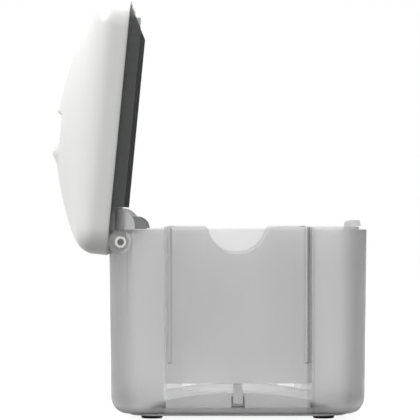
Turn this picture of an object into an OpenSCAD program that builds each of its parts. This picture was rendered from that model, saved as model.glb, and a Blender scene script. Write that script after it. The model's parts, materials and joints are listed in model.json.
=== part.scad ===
// Tabletop dispenser for folded paper napkins, drawn with its lid open.
// +X runs from the hinge to the catch, +Y across the box and +Z up; the feet stand on z = 0.

/* [Tub] */
// Length of the tub at its rim
tub_len = 193.7; // [180:0.1:220]
// Depth of the tub at its rim, without the window panels
tub_dep = 153.2; // [144:0.1:170]
// Height of the rim above the table
rim_z = 142.4; // [130:0.1:160]
// Height of the underside of the tub above the table
tub_z = 4.2; // [4:0.1:8]
// Thickness of the tub's walls
wall = 2.5; // [2:0.1:3]
// Thickness of the tub's floor
floor_t = 2.5; // [2:0.1:3.5]
// Radius of the upright corners, seen from above
corner_r = 22; // [18:0.5:26]
// Radius between the walls and the underside
bottom_r = 12; // [8:0.5:14]
// How much narrower each side is at the bottom than at the rim
draft = 1.7; // [0.5:0.1:3]
// Width of the ledge that the rim carries inside
ledge_w = 7; // [6:0.1:8]
// Thickness of that ledge
ledge_t = 2.5; // [2:0.1:4]
// How far the inner lip stands above the rim
lip_h = 2; // [1:0.1:3]
// Thickness of the inner lip
lip_t = 1.4; // [1:0.1:2]
// Distance from the outer face of the tub to the inner lip
lip_in = 5.5; // [5:0.1:5.6]

/* [Windows] */
// Length of each raised panel that carries a window
panel_len = 115; // [108:0.1:120]
// How far the raised panels stand out of the tub's sides
panel_out = 0.9; // [0.5:0.1:2]
// Height of the bottom of the raised panels
panel_z = 11.5; // [8:0.1:16]
// Width of the pocket's cheek at each end of a pane
cheek_w = 2.6; // [1.5:0.1:4]
// Thickness of each window pane
pane_t = 1.6; // [1:0.1:2]
// Height of the bottom edge of each pane
pane_z = 27.9; // [24:0.1:40]
// How far the panes stand above the rim
pane_rise = 2.2; // [1:0.1:4]
// Width by which each rail covers the edge of its pane
rail_cover = 3.5; // [2:0.1:5]
// Thickness of the rails in front of the panes
rail_t = 0.6; // [0.5:0.1:1]
// Height of the bottom ends of the rails
rail_z = 42.8; // [32:0.1:60]
// Radius of the thumb notch
notch_r = 23.3; // [15:0.1:26]
// Depth of the thumb notch
notch_depth = 20.3; // [10:0.1:22]
// Radius of the rounded corners at the mouth of the notch
notch_lip_r = 5; // [2:0.1:8]
// Height of the viewing slots, below the panes
slot_h = 4.8; // [4:0.1:6]
// Length of each viewing slot
slot_len = 38; // [20:0.1:40]
// Width of the bar between the two viewing slots
slot_bar = 7.4; // [4:0.1:12]

/* [Hinge] */
// Distance of the hinge axis from the rear face and from the rim
pivot_in = 9.3; // [9:0.1:11]
// Diameter of the hinge pin
pin_d = 5; // [4:0.1:5.5]
// Outer diameter of the hinge bushes
bush_d = 8.5; // [7.5:0.1:10]
// How far the bushes stand out of the ears
bush_proud = 0.4; // [0.1:0.1:0.6]
// Distance from the tub's side to the flat outer face of each ear
ear_in = 1.7; // [1:0.1:3]
// Width of each ear
ear_w = 17.4; // [14:0.1:20]
// Height of the curved guards above the hinge axis
guard_h = 25.5; // [20:0.1:27]
// Reach of the curved guards in front of the hinge axis
guard_reach = 10.4; // [9:0.1:13]
// Thickness of the curved guards
guard_t = 2; // [1.5:0.1:2.4]
// Distance of the curved guards from the tub's outer face
guard_in = 4.6; // [4.4:0.1:5]
// Thickness of the lid's hinge arms
arm_t = 4.5; // [3:0.1:6]
// Gap between an arm and the ear beside it
arm_gap = 1; // [0.3:0.1:2]
// Width of each arm over its eye
arm_w = 10; // [8:0.1:11]
// Radius of the quarter-round lug on each arm
lug_r = 9.2; // [6:0.1:10]
// Distance from the hinge axis to the middle of the lug, with the lid open
lug_in = 9.7; // [9:0.1:13]

/* [Lid] */
// Angle between the open lid and the closed lid
open_deg = 84.5; // [60:0.5:86]
// Gap between the closed lid and the rim
rim_gap = 0.35; // [0.3:0.05:1]
// How far the lid reaches behind the hinge axis
lid_back = 11; // [10.8:0.1:11.4]
// Distance from the tub's front face to the front of the closed lid
lid_end = 3.4; // [3:0.1:12]
// Distance from the tub's side to the lid's side
lid_side = 2; // [1.8:0.1:2.6]
// Radius of the lid's corners, seen from above
lid_corner_r = 20; // [17:0.5:24]
// Height of the middle of the dome above the lid's edge
dome_h = 49.8; // [40:0.1:60]
// Height that the dome's edges would have without rounding
edge_h = 22.8; // [18:0.1:28]
// Radius of the rounding between the lid's walls and its dome
edge_r = 12; // [8:0.5:16]
// Thickness of the lid's shell
shell_t = 2; // [1.5:0.1:2.4]
// Distance from the hinge axis to the middle of the outlet
outlet_u = 80; // [70:0.5:90]
// Width of the outlet, along the lid
outlet_w = 23; // [18:0.5:28]
// Length of the outlet, across the lid
outlet_len = 56; // [50:0.1:80]
// Radius of the outlet's corners
outlet_r = 9; // [5:0.5:9]
// Depth of the scoop around the outlet
scoop_depth = 3.3; // [2:0.1:5]
// Height of the rounded lip behind the outlet
lip_rise = 4; // [1:0.1:5]
// Height of the hood edge in front of the outlet
hood_rise = 0.8; // [0.2:0.1:1.5]

/* [Liner] */
// Depth of the liner's skirt below the lid's edge
skirt_depth = 9.3; // [8:0.1:14]
// Thickness of the liner
liner_t = 1.6; // [1.2:0.1:2]
// Height of the liner's plate above the lid's edge
liner_h = 2; // [1:0.1:4]
// Gap between the skirt's sides and the ledge of the closed tub
skirt_gap = 0.4; // [0.3:0.1:3]
// Where the skirt starts in front of the hinge axis
skirt_start = 26; // [25.6:0.1:34]
// Gap between the skirt's front and the ledge of the closed tub
skirt_end = 0.8; // [0.6:0.1:8]
// Length of the sloping front end of the skirt
skirt_slope = 16.5; // [15:0.5:35]
// Gap between the outlet and the chute below it
chute_gap = 2; // [1:0.1:4]
// Height of the top of the chute above the lid's edge
chute_top = 36; // [20:0.5:37]

/* [Latch] */
// Half of the width of the catch on the front rim
catch_half = 12; // [8:0.5:14]
// Height of the catch above the hinge axis
catch_top = 16.3; // [14:0.1:17]
// Width of each latch claw
claw_w = 5; // [3:0.1:6]
// Thickness of each latch claw, along the lid
claw_t = 6.2; // [4:0.1:7]
// Gap between the claws and the catch
claw_gap = 0.4; // [0.3:0.1:1]
// Travel of the latch button
latch_travel = 2.5; // [1:0.1:2.8]
// Width of the latch button
button_w = 22; // [14:0.5:26]
// Height of the latch button
button_h = 6; // [4:0.1:7]
// Height of the middle of the button above the lid's edge
button_z = 13.2; // [12.6:0.1:14]

/* [Lift] */
// Distance from each spring drum's axis to the edge of the lift plate
plate_end = 17; // [15:0.5:24]
// Distance from the tub's side to the side of the lift plate
plate_side = 10.6; // [9:0.1:16]
// Thickness of the lift plate
plate_t = 2.6; // [2:0.1:4]
// Height of the arch of the lift plate
plate_rise = 8.5; // [4:0.1:10]
// Gap between the resting lift plate and the chassis
plate_gap = 0.3; // [0.2:0.1:1]
// Travel of the lift plate
lift_travel = 100; // [60:1:100]
// Thickness of the chassis
chassis_t = 2; // [1.5:0.1:3]
// Distance from the tub's end to the axis of each spring drum
drum_in = 11.85; // [11:0.05:14]
// Radius of each spring drum
drum_r = 2.5; // [2:0.1:3]
// Outer radius of each wound spring
coil_r = 4.5; // [4:0.1:4.7]
// Width of the spring strips
strip_w = 12; // [8:0.5:16]
// Thickness of the spring strips
strip_t = 0.3; // [0.2:0.05:0.5]
// Diameter of the drum pins
drum_pin_d = 2; // [1.5:0.1:2.5]
// Diameter of the yoke's bar
yoke_d = 3; // [2.5:0.1:4]
// Height of the yoke's hooked arms above its bar
yoke_arm = 15; // [12:0.5:18]
// Width of the yoke's arms
yoke_w = 7; // [5:0.1:8]

/* [Base] */
// Thickness of the base plate
base_t = 1.6; // [1.2:0.1:3]
// Distance from the tub's end to the end of the base plate
base_in_x = 15.35; // [12:0.05:22]
// Distance from the tub's side to the side of the base plate
base_in_y = 14.6; // [12:0.1:20]
// Diameter of the feet
foot_d = 16; // [12:0.5:20]
// Distance from the end of the base plate to the middle of a foot
foot_in_x = 16.7; // [12:0.1:24]
// Distance from the side of the base plate to the middle of a foot
foot_in_y = 16; // [12:0.5:20]
// Diameter of the screw shanks
screw_d = 3; // [2.5:0.1:3.5]
// Diameter of the screw heads
head_d = 6; // [5:0.1:7]
// Height of the screw heads
head_h = 1.2; // [1:0.1:1.5]
// Distance from the end of the base plate to each base screw
screw_in_x = 31.5; // [28:0.5:40]
// Distance from the side of the base plate to each base screw
screw_in_y = 27; // [24:0.5:32]
// Length of the screws that hold the liner
screw_len = 10.6; // [8:0.1:12]

/* [Hidden] */

run_gap = 0.05;   // radial clearance of a running fit
fit_gap = 0.02;   // radial clearance of a seated fit
part_gap = 0.2;   // gap between neighbouring pieces
slide_gap = 0.1;  // gap on each side of a sliding pane
over = 1;         // how far a cut runs past what it cuts
steps = 8;        // segments in a rounded corner
lid_steps = 12;   // segments along each side of the lid's dome
side_rings = 3;   // rings of the dome outside the middle field
mid_rings = 13;   // rings of the middle field, around the outlet

pivot_x = -tub_len / 2 + pivot_in;
pivot_z = rim_z - pivot_in;
floor_z = tub_z + floor_t;
edge_w = pivot_in + rim_gap;
lid_front = tub_len - pivot_in - lid_end;
lid_dep = tub_dep - 2 * lid_side;
skirt_front = tub_len - pivot_in - ledge_w - skirt_end;
skirt_half = tub_dep / 2 - ledge_w - skirt_gap;
lid_hx = (lid_front + lid_back) / 2;
lid_hy = lid_dep / 2;
lid_u = (lid_front - lid_back) / 2;
panel_y = tub_dep / 2 + panel_out;
pane_len = panel_len - 2 * cheek_w;
slot_z = pane_z - part_gap - slot_h;
ear_dep = tub_dep - 2 * ear_in;
ear_gap = ear_dep - 2 * ear_w;
pocket_y = panel_y - rail_t - pane_t - 2 * slide_gap;
panel_in_y = pocket_y - wall;
chassis_z = floor_z;
chassis_top = chassis_z + chassis_t;
drum_x = tub_len / 2 - drum_in;
plate_len = 2 * (drum_x - plate_end);
plate_dep = tub_dep - 2 * plate_side;
plate_r = (pow(plate_len / 2, 2) + pow(plate_rise, 2)) / (2 * plate_rise);
plate_top = chassis_top + plate_gap + plate_t + plate_rise;
base_z = tub_z - base_t;
base_len = tub_len - 2 * base_in_x;
base_dep = tub_dep - 2 * base_in_y;
drum_z = chassis_top + plate_gap + coil_r + part_gap;
strip_x = drum_x + coil_r;
strip_top = drum_z + lift_travel + coil_r;
anchor_h = 8;
yoke_z = chassis_top + yoke_d / 2 + 2;
arm_y = ear_gap / 2 - arm_gap - arm_t;

function sq(v) = v * v;
function soft_step(a, b, v) = let (t = max(0, min(1, (v - a) / (b - a)))) t * t * (3 - 2 * t);

// Distance of a point inside a rounded rectangle from its outline.
function inset_at(x, y, hx, hy, r) =
    let (qx = abs(x) - (hx - r), qy = abs(y) - (hy - r))
    r - norm([max(qx, 0), max(qy, 0)]) - min(max(qx, qy), 0);

// Outline of a rounded rectangle: four arcs, with extra points along the straight sides.
function corner_point(hx, hy, r, q, k, n) =
    let (sx = (q == 0 || q == 3) ? 1 : -1, sy = q < 2 ? 1 : -1, a = 90 * (q + k / n))
    [sx * (hx - r) + r * cos(a), sy * (hy - r) + r * sin(a)];
function outline(hx, hy, r, arc, side) = [
    for (q = [0:3])
        for (k = [0:arc + side - 1])
            let (from = corner_point(hx, hy, r, q, arc, arc), to = corner_point(hx, hy, r, (q + 1) % 4, 0, arc))
            k <= arc ? corner_point(hx, hy, r, q, k, arc) : from + (to - from) * (k - arc) / side
];

// Height of the outside of the lid over its edge, at u along the lid and y across it.
function crown(x, y) = edge_h + (dome_h - edge_h) * (1 - sq(x / lid_hx)) * (1 - sq(y / lid_hy));
hood_edge = outlet_w / 2 + 3;
brow_w = 3.4;
hood_run = 26;
scoop_end = 9;
scoop_run = 20;
lip_at = outlet_w / 2 + 3.6;
lip_w = 7;
function outlet_form(u, y) =
    let (side = 1 - soft_step(0.5, 1.1, abs(y) / (outlet_len / 2)), v = u - outlet_u,
        brow = soft_step(hood_edge - brow_w, hood_edge, v))
    side * (-scoop_depth * soft_step(-scoop_run, -scoop_end, v) * (1 - brow)
        + lip_rise * exp(-sq((v + lip_at) / lip_w)) + hood_rise * soft_step(hood_run, hood_edge, v) * brow);
function lid_height(x, y, t) =
    let (r = edge_r - t, d = max(0, min(r, inset_at(x, y, lid_hx - t, lid_hy - t, lid_corner_r - t))))
    crown(x, y) + outlet_form(x + lid_u, y) - t - r + sqrt(sq(r) - sq(r - d));

// How far the open lid reaches behind the hinge axis; it centres the whole object on the origin.
lid_reach = max([for (u = [-lid_back:lid_front])
    (edge_w + lid_height(u - lid_u, 0, 0)) * sin(open_deg) - u * cos(open_deg)]);
shift_x = -(pivot_x - lid_reach + tub_len / 2) / 2;

module place() translate([shift_x, 0, 0]) children();
module at_pivot() place() translate([pivot_x, 0, pivot_z]) children();
module on_lid() at_pivot() rotate([0, -open_deg, 0]) children();
module to_side(s) mirror([0, s < 0 ? 1 : 0, 0]) children();
module to_end(s) mirror([s < 0 ? 1 : 0, 0, 0]) children();
module both_sides() for (s = [1, -1]) to_side(s) children();
module both_ends() for (s = [1, -1]) to_end(s) children();

// A disc or rod along Y between two distances from the middle.
module rod_y(r, y0, y1) translate([0, y1, 0]) rotate([90, 0, 0]) cylinder(r = r, h = y1 - y0, $fn = 48);

// An XZ outline drawn across Y between two distances from the middle.
module across(y0, y1) translate([0, y1, 0]) rotate([90, 0, 0]) linear_extrude(y1 - y0) children();

module round_plate(hx, hy, r, z0, z1) translate([0, 0, z0]) linear_extrude(z1 - z0) round_shape(hx, hy, r);

module round_shape(hx, hy, r) {
    square([2 * hx, 2 * (hy - r)], center = true);
    square([2 * (hx - r), 2 * hy], center = true);
    for (x = [-1, 1], y = [-1, 1]) translate([x * (hx - r), y * (hy - r)]) circle(r, $fn = 64);
}

// A closed solid through rounded-rectangle rings, each [inset, z, radius taken off the corner].
module ring_solid(levels) {
    n = 4 * (steps + 1);
    rings = [for (l = levels) [for (p = outline(tub_len / 2 - l[0], tub_dep / 2 - l[0],
        max(corner_r - l[0], 2), steps, 1)) [p[0], p[1], l[1]]]];
    last = len(levels) - 1;
    polyhedron(
        [for (ring = rings) each ring],
        concat(
            [[for (i = [0:n - 1]) i]],
            [for (k = [0:last - 1], i = [0:n - 1]) let (j = (i + 1) % n)
                each [[k * n + i, (k + 1) * n + i, k * n + j], [k * n + j, (k + 1) * n + i, (k + 1) * n + j]]],
            [[for (i = [n - 1:-1:0]) last * n + i]]));
}

// Inset of the tub's outside at a height, with its draft and the round of its underside.
function draft_at(z) = draft * (rim_z - z) / (rim_z - tub_z);
function bend(r, a) = r * (1 - cos(a));

// Levels of the tub from the middle of its underside, over the rim, to the middle of its floor.
function tub_levels() = let (in_r = bottom_r - wall, ledge_z = rim_z - ledge_t) concat(
    [for (a = [0:15:90]) let (z = tub_z + bend(bottom_r, a)) [draft_at(z) + bottom_r * (1 - sin(a)), z]],
    [[0, rim_z], [ledge_w, rim_z], [ledge_w, ledge_z], [draft_at(ledge_z) + wall, ledge_z]],
    [for (a = [90:-15:0]) let (z = floor_z + bend(in_r, a)) [draft_at(z) + wall + in_r * (1 - sin(a)), z]]);

module tub() color("gainsboro", 0.55) place() difference() {
    union() {
        ring_solid(tub_levels());
        both_sides() panel();
        front_lip();
        at_hinge() both_sides() {
            rod_y(pivot_in - 0.3, ear_gap / 2, ear_dep / 2);
            guard();
        }
    }
    both_sides() {
        pane_pocket();
        both_ends() translate([slot_bar / 2, panel_in_y - over, slot_z])
            cube([slot_len, panel_y - panel_in_y + 2 * over, pane_z - slot_z + over]);
        at_hinge() rod_y(bush_d / 2 + fit_gap, ear_gap / 2 - over, ear_dep / 2 + 2 * over);
    }
    at_hinge() {
        hinge_round();
        arm_slot();
    }
    base_screw_places() cylinder(d = screw_d + 2 * part_gap, h = tub_z + floor_t + over, $fn = 24);
}

module at_hinge() translate([pivot_x, 0, pivot_z]) children();

// A raised panel stands through the side wall; its cheeks rise above the rim beside the pane.
post_t = 2;
module panel() {
    top_z = rim_z + pane_rise - part_gap;
    both_ends() translate([panel_len / 2 - cheek_w, pocket_y, rim_z - over])
        cube([cheek_w, panel_y - pocket_y, top_z - rim_z + over]);
    both_ends() translate([panel_len / 2 - cheek_w - rail_cover, panel_y - rail_t, rim_z - over])
        cube([cheek_w + rail_cover, rail_t, top_z - rim_z + over]);
    translate([-panel_len / 2, panel_in_y, panel_z])
        cube([panel_len, panel_y - panel_in_y, rim_z - panel_z]);
    both_ends() translate([slot_bar / 2 + slot_len, panel_in_y - post_t, slot_z - slot_h])
        cube([slot_bar, post_t + over, 2.5 * slot_h]);
}

// The pocket behind the rails, and its open front between them.
module pane_pocket() {
    pocket_z = pane_z - part_gap;
    high = rim_z + pane_rise + over - pocket_z;
    half = pane_len / 2 + part_gap;
    translate([-half, pocket_y, pocket_z]) cube([2 * half, pane_t + 2 * slide_gap, high]);
    translate([-pane_len / 2 + rail_cover, pocket_y, pocket_z])
        cube([pane_len - 2 * rail_cover, panel_y - pocket_y + over, high]);
    translate([-half, pocket_y, pocket_z]) cube([2 * half, panel_y - pocket_y + over, rail_z - pocket_z]);
}

// The lip runs inside the rim, from the panels round the front.
module front_lip() intersection() {
    difference() {
        round_plate(tub_len / 2 - lip_in, tub_dep / 2 - lip_in, corner_r - lip_in, rim_z - over, rim_z + lip_h);
        round_plate(tub_len / 2 - lip_in - lip_t, tub_dep / 2 - lip_in - lip_t, corner_r - lip_in - lip_t,
            rim_z - 2 * over, rim_z + lip_h + over);
    }
    translate([panel_len / 2, -tub_dep, 0]) cube([tub_len, 2 * tub_dep, rim_z + 2 * lip_h]);
}

// A curved guard follows the rear corner inside the wall; its outline is a quarter round.
guard_r = 13.4;
module guard() {
    intersection() {
        translate([-pivot_x, 0, -pivot_z]) difference() {
            round_plate(tub_len / 2 - guard_in, tub_dep / 2 - guard_in, corner_r - guard_in,
                pivot_z + pivot_in - ledge_t / 2, pivot_z + guard_h + over);
            round_plate(tub_len / 2 - guard_in - guard_t, tub_dep / 2 - guard_in - guard_t,
                corner_r - guard_in - guard_t, 0, pivot_z + guard_h + 2 * over);
        }
        across(arm_y + arm_t + arm_gap, tub_dep / 2) {
            translate([guard_reach - guard_r, guard_h - guard_r]) circle(guard_r, $fn = 64);
            translate([-pivot_in, 0]) square([guard_reach + pivot_in - guard_r, guard_h]);
            translate([-pivot_in, 0]) square([guard_reach + pivot_in, guard_h - guard_r]);
        }
    }
}

// The rear edge of the tub is round about the hinge axis, so that the lid can turn past it.
module hinge_round() difference() {
    union() {
        translate([-pivot_in - over, -tub_dep, 0])
            cube([pivot_in - guard_in + over, 2 * tub_dep, pivot_in + over]);
        both_sides() translate([-pivot_in, tub_dep / 2 - pivot_in, 0])
            cube([pivot_in, tub_dep, pivot_in + over]);
    }
    rod_y(pivot_in, -tub_dep - over, tub_dep + over);
}

// Between the ears the ledge is left out, so that the hinge arms can swing through it.
module arm_slot() translate([-pivot_in + wall, -ear_gap / 2, 0])
    cube([pivot_in + lug_in + lug_r, ear_gap, pivot_in + over]);

module base_screw_places() for (x = [-1, 1], y = [-1, 1])
    translate([x * (base_len / 2 - screw_in_x), y * (base_dep / 2 - screw_in_y), 0]) children();

foot_x = base_len / 2 - foot_in_x;
foot_y = base_dep / 2 - foot_in_y;
module foot_places() for (x = [-1, 1], y = [-1, 1]) translate([x * foot_x, y * foot_y, 0]) children();

module base_plate() color("darkgray") place() difference() {
    round_plate(base_len / 2, base_dep / 2, corner_r, base_z, tub_z);
    base_screw_places() {
        translate([0, 0, -over]) cylinder(d = screw_d + 2 * part_gap, h = tub_z + 2 * over, $fn = 24);
        translate([0, 0, -over]) cylinder(d = head_d + 2 * part_gap, h = base_z + head_h + over, $fn = 32);
    }
    foot_places() cylinder(d = foot_d / 3 + 2 * fit_gap, h = tub_z + over, $fn = 32);
}

module foot(sx, sy) color("black") place() translate([sx * foot_x, sy * foot_y, 0]) {
    rotate_extrude($fn = 64) polygon([[0, 0], [foot_d / 2 - 0.6, 0], [foot_d / 2, 0.6],
        [foot_d / 2, base_z], [foot_d / 6, base_z], [foot_d / 6, tub_z], [0, tub_z]]);
}

module base_screws() color("silver") place() base_screw_places() {
    translate([0, 0, base_z]) screw(head_h, chassis_top - base_z - 0.5);
}

// A pan-head screw that points up from its head, with a cross recess.
module screw(head, length) difference() {
    union() {
        cylinder(d = head_d, h = head, $fn = 32);
        cylinder(d = screw_d, h = length, $fn = 24);
    }
    for (a = [0, 90]) rotate([0, 0, a]) translate([-head_d / 3, -0.4, -over])
        cube([head_d * 2 / 3, 0.8, head / 2 + over]);
}

// The chassis is the inner floor, with two bored blocks for the yoke's bar.
block_w = 8;
block_y = plate_dep / 2 - 3 * block_w;
module chassis() color("dimgray") place() difference() {
    union() {
        in = draft_at(floor_z) + bottom_r + part_gap;
        round_plate(tub_len / 2 - in, tub_dep / 2 - in, corner_r - in, chassis_z, chassis_top);
        both_sides() translate([-yoke_d - 1, block_y, chassis_top - over])
            cube([2 * yoke_d + 2, block_w, yoke_z - chassis_top + yoke_d / 2 + 1.6 + over]);
    }
    translate([0, 0, yoke_z]) both_sides()
        rod_y(yoke_d / 2 + run_gap, block_y - over, block_y + block_w + over);
    base_screw_places() cylinder(d = screw_d + 2 * part_gap, h = chassis_top + over, $fn = 24);
}

module hinge_pin() color("dimgray") at_pivot() difference() {
    rod_y(pin_d / 2, -ear_dep / 2, ear_dep / 2);
    both_sides() rod_y(0.6, ear_dep / 2 - 0.6, ear_dep / 2 + over);
}

module hinge_bush(s) color("white") at_pivot() to_side(s) difference() {
    rod_y(bush_d / 2, ear_gap / 2, ear_dep / 2 + bush_proud);
    rod_y(pin_d / 2 + fit_gap, ear_gap / 2 - over, ear_dep / 2 + 2 * over);
}

// The catch hangs on the lip: a leg inside the ledge, a sloping head over it and a rib behind.
catch_u = tub_len - pivot_in - ledge_w;
catch_t = 2.2;
catch_leg = 14;
catch_hook = 4.9;
module lid_catch() color("lightgray") at_pivot() {
    head = pivot_in + lip_h + part_gap;
    across(-catch_half, catch_half) polygon([[catch_u - catch_t, pivot_in - catch_leg],
        [catch_u - part_gap / 2, pivot_in - catch_leg], [catch_u - part_gap / 2, head],
        [catch_u + ledge_w - 1.9, head], [catch_u + 3.8, catch_top], [catch_u - catch_t, catch_top]]);
    across(-0.8, 0.8) intersection() {
        translate([catch_u - catch_t, catch_top - 8]) circle(8, $fn = 64);
        translate([catch_u - catch_t - 5.2, catch_top - 12]) square([6, 12]);
    }
    both_sides() across(4, catch_half - 0.5) polygon([[catch_u - 2, catch_top - 3], [catch_u - 2, catch_top],
        [catch_u - catch_hook, catch_top - 0.8], [catch_u - catch_hook, catch_top - 2.2]]);
}

module end_block(s) place() to_end(s) translate([strip_x + strip_t, 0, strip_top - anchor_h]) children();

anchor_t = tub_len / 2 - draft_at(strip_top - anchor_h) - wall - strip_x - strip_t - run_gap;
module strip_anchor(s) color("darkgray") end_block(s)
    translate([0, -strip_w / 2 - 1.5, 0]) cube([anchor_t, strip_w + 3, anchor_h]);

module spring_strip(s) color("silver") place() to_end(s)
    translate([strip_x, -strip_w / 2, drum_z]) cube([strip_t, strip_w, strip_top - drum_z]);

// The dome as one closed shell: outer rings, inner rings and the flat edge between them.
mid_field = 0.6;
function ring_scales(r) = let (h = lid_hy) concat(
    [for (a = [0:15:75]) 1 - r * (1 - cos(a)) / h],
    [for (k = [0:side_rings - 1]) 1 - r / h - (1 - r / h - mid_field) * k / side_rings],
    [for (k = [0:mid_rings - 1]) mid_field * (1 - k / mid_rings)]);
function dome_side(t) = let (edge = outline(lid_hx - t, lid_hy - t, lid_corner_r - t, steps, lid_steps)) concat(
    [[for (p = edge) [p[0], p[1], 0]]],
    [for (s = ring_scales(edge_r - t))
        [for (p = edge) [p[0] * s, p[1] * s, lid_height(p[0] * s, p[1] * s, t)]]]);

module dome() {
    sides = [dome_side(0), dome_side(shell_t)];
    n = len(sides[0][0]);
    m = len(sides[0]);
    apex = [for (t = [0, shell_t]) [0, 0, lid_height(0, 0, t)]];
    first = m * n;
    translate([lid_u, 0, edge_w]) polyhedron(
        concat([for (side = sides, ring = side) each ring], apex),
        [for (i = [0:n - 1]) let (j = (i + 1) % n) each concat(
            [for (k = [0:m - 2]) each [[k * n + i, (k + 1) * n + i, k * n + j],
                [k * n + j, (k + 1) * n + i, (k + 1) * n + j]]],
            [for (k = [0:m - 2]) each [[first + k * n + i, first + k * n + j, first + (k + 1) * n + i],
                [first + k * n + j, first + (k + 1) * n + j, first + (k + 1) * n + i]]],
            [[(m - 1) * n + i, 2 * first, (m - 1) * n + j],
                [first + (m - 1) * n + i, first + (m - 1) * n + j, 2 * first + 1],
                [i, j, first + i], [j, first + j, first + i]])]);
}

boss_d = 8;
boss_y = outlet_len / 2 + boss_d;
boss_end = 41;
function boss_places() = [for (u = [skirt_start + boss_d, lid_front - boss_end], y = [-boss_y, boss_y]) [u, y]];

module lid_shell() color("white") on_lid() difference() {
    union() {
        dome();
        for (b = boss_places()) translate([b[0], b[1], edge_w + liner_h + liner_t]) {
            top = lid_height(b[0] - lid_u, b[1], shell_t) - liner_h - liner_t;
            cylinder(d = boss_d, h = top + part_gap, $fn = 32);
        }
    }
    translate([outlet_u, 0, edge_w]) round_plate(outlet_w / 2, outlet_len / 2, outlet_r, 20, dome_h + 20);
    translate([lid_front - 8, -catch_half - 2, edge_w - over]) cube([12, 2 * catch_half + 4, 9 + over]);
    translate([lid_front - 14, -button_w / 2 - part_gap, edge_w + button_z - button_h / 2 - part_gap])
        cube([20, button_w + 2 * part_gap, button_h + 2 * part_gap]);
    for (b = boss_places()) translate([b[0], b[1], edge_w])
        cylinder(d = screw_d + 2 * fit_gap, h = liner_h + screw_len, $fn = 24);
}

// The chute is a tube between the liner's plate and the outlet, with a flange on the plate.
chute_hx = outlet_w / 2 + chute_gap;
chute_hy = outlet_len / 2 + chute_gap;
module chute_plate(out, z0, z1) translate([outlet_u, 0, edge_w])
    round_plate(chute_hx + out, chute_hy + out, outlet_r + chute_gap + out, z0, z1);
module outlet_chute() color([0.25, 0.25, 0.26]) on_lid() difference() {
    flange_z = liner_h + liner_t + run_gap;
    union() {
        chute_plate(liner_t, liner_h, chute_top);
        chute_plate(liner_t + 3, flange_z, flange_z + liner_t);
    }
    chute_plate(0, -over, chute_top + over);
}

// The liner closes the lid: a plate, and a skirt below it with a sloping front.
module lid_liner() color([0.25, 0.25, 0.26]) on_lid() difference() {
    union() {
        liner_plate();
        intersection() {
            liner_ring(skirt_depth + liner_h + liner_t, edge_w - skirt_depth);
            across(-lid_dep, lid_dep) polygon([[skirt_start, edge_w - skirt_depth],
                [skirt_front - skirt_slope, edge_w - skirt_depth], [skirt_front + over, edge_w],
                [skirt_front + over, edge_w + liner_h + liner_t], [skirt_start, edge_w + liner_h + liner_t]]);
        }
    }
    chute_plate(liner_t + run_gap, -over, chute_top);
    translate([latch_back - 1, -catch_half - 4, edge_w - skirt_depth - over])
        cube([lid_front, 2 * catch_half + 8, skirt_depth + liner_h + liner_t + 2 * over]);
    for (b = boss_places()) translate([b[0], b[1], edge_w - over])
        cylinder(d = screw_d + 2 * part_gap, h = liner_h + liner_t + 2 * over, $fn = 24);
    peg_places() translate([0, 0, -over]) cylinder(d = peg_d + 2 * fit_gap, h = liner_t + 2 * over, $fn = 24);
}

module liner_plate() {
    half = lid_hy - shell_t - 0.5;
    front = lid_front - shell_t - 0.5;
    translate([(skirt_start + front) / 2, 0, edge_w]) round_plate((front - skirt_start) / 2, half,
        lid_corner_r - shell_t - 0.5, liner_h, liner_h + liner_t);
    translate([13, -arm_y - arm_t, edge_w + liner_h])
        cube([2 * skirt_start, 2 * (arm_y + arm_t), liner_t]);
}

// The skirt's ring in plan.
module liner_ring(height, w0) translate([0, 0, w0]) linear_extrude(height) difference() {
    translate([skirt_front / 2, 0]) round_shape(skirt_front / 2, skirt_half, corner_r - ledge_w + 1);
    translate([skirt_front / 2 - liner_t, 0])
        round_shape(skirt_front / 2, skirt_half - liner_t, corner_r - ledge_w + 1 - liner_t);
}

// A hinge arm: an eye on the pin, a stem, a web up to the liner's plate, and a quarter-round lug
// on the stem, which lies over the rim when the lid is open.
eye_r = 6.5;
web_in = 7;
web_drop = 8;
module hinge_arm(s) color([0.22, 0.22, 0.23]) on_lid() to_side(s) difference() {
    top = edge_w + liner_h;
    foot = pivot_in + 2 * part_gap;
    union() {
        rod_y(eye_r, arm_y, arm_y + arm_t);
        rotate([0, open_deg, 0]) across(arm_y, arm_y + arm_t) {
            translate([-arm_w / 2, 0]) square([arm_w, foot + lug_r]);
            translate([-arm_w / 2, foot]) square([arm_w / 2 + lug_in, lug_r]);
            intersection() {
                translate([lug_in, foot]) circle(lug_r, $fn = 64);
                translate([0, foot]) square([lug_in + lug_r, lug_r]);
            }
        }
        across(arm_y, arm_y + arm_t) polygon([[top - 1, top], [eye_r, eye_r],
            [skirt_start - web_in, top - web_drop], [2 * (skirt_start - web_in), top - web_drop / 2],
            [2 * skirt_start - web_drop, top]]);
    }
    rod_y(pin_d / 2 + run_gap, arm_y - over, arm_y + arm_t + over);
}

module liner_screws() color("silver") on_lid() for (b = boss_places())
    translate([b[0], b[1], edge_w + liner_h - head_h]) screw(head_h, screw_len);

// The latch: a guide under the shell, and a button that slides in it with two claws.
claw_u = catch_u - catch_hook - claw_gap;
latch_back = claw_u - claw_t - latch_travel - 4;
deck_w = edge_w + button_z;
spring_bore = 5;
module latch_slider() color("lightgray") on_lid() difference() {
    union() {
        translate([claw_u - claw_t, -button_w / 2, deck_w - 1.6])
            cube([lid_front - 1 - claw_u + claw_t, button_w, 3.2]);
        translate([lid_front - 4.6, -button_w / 2, deck_w - button_h / 2]) cube([4.2, button_w, button_h]);
        for (y = [-catch_half + 1, catch_half - 1 - claw_w])
            translate([claw_u - claw_t, y, edge_w - 6.4]) cube([claw_t, claw_w, button_z + 6.4]);
    }
    translate([claw_u - claw_t - over, 0, deck_w]) rotate([0, 90, 0])
        cylinder(d = 3, h = spring_bore + over, $fn = 24);
}

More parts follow.
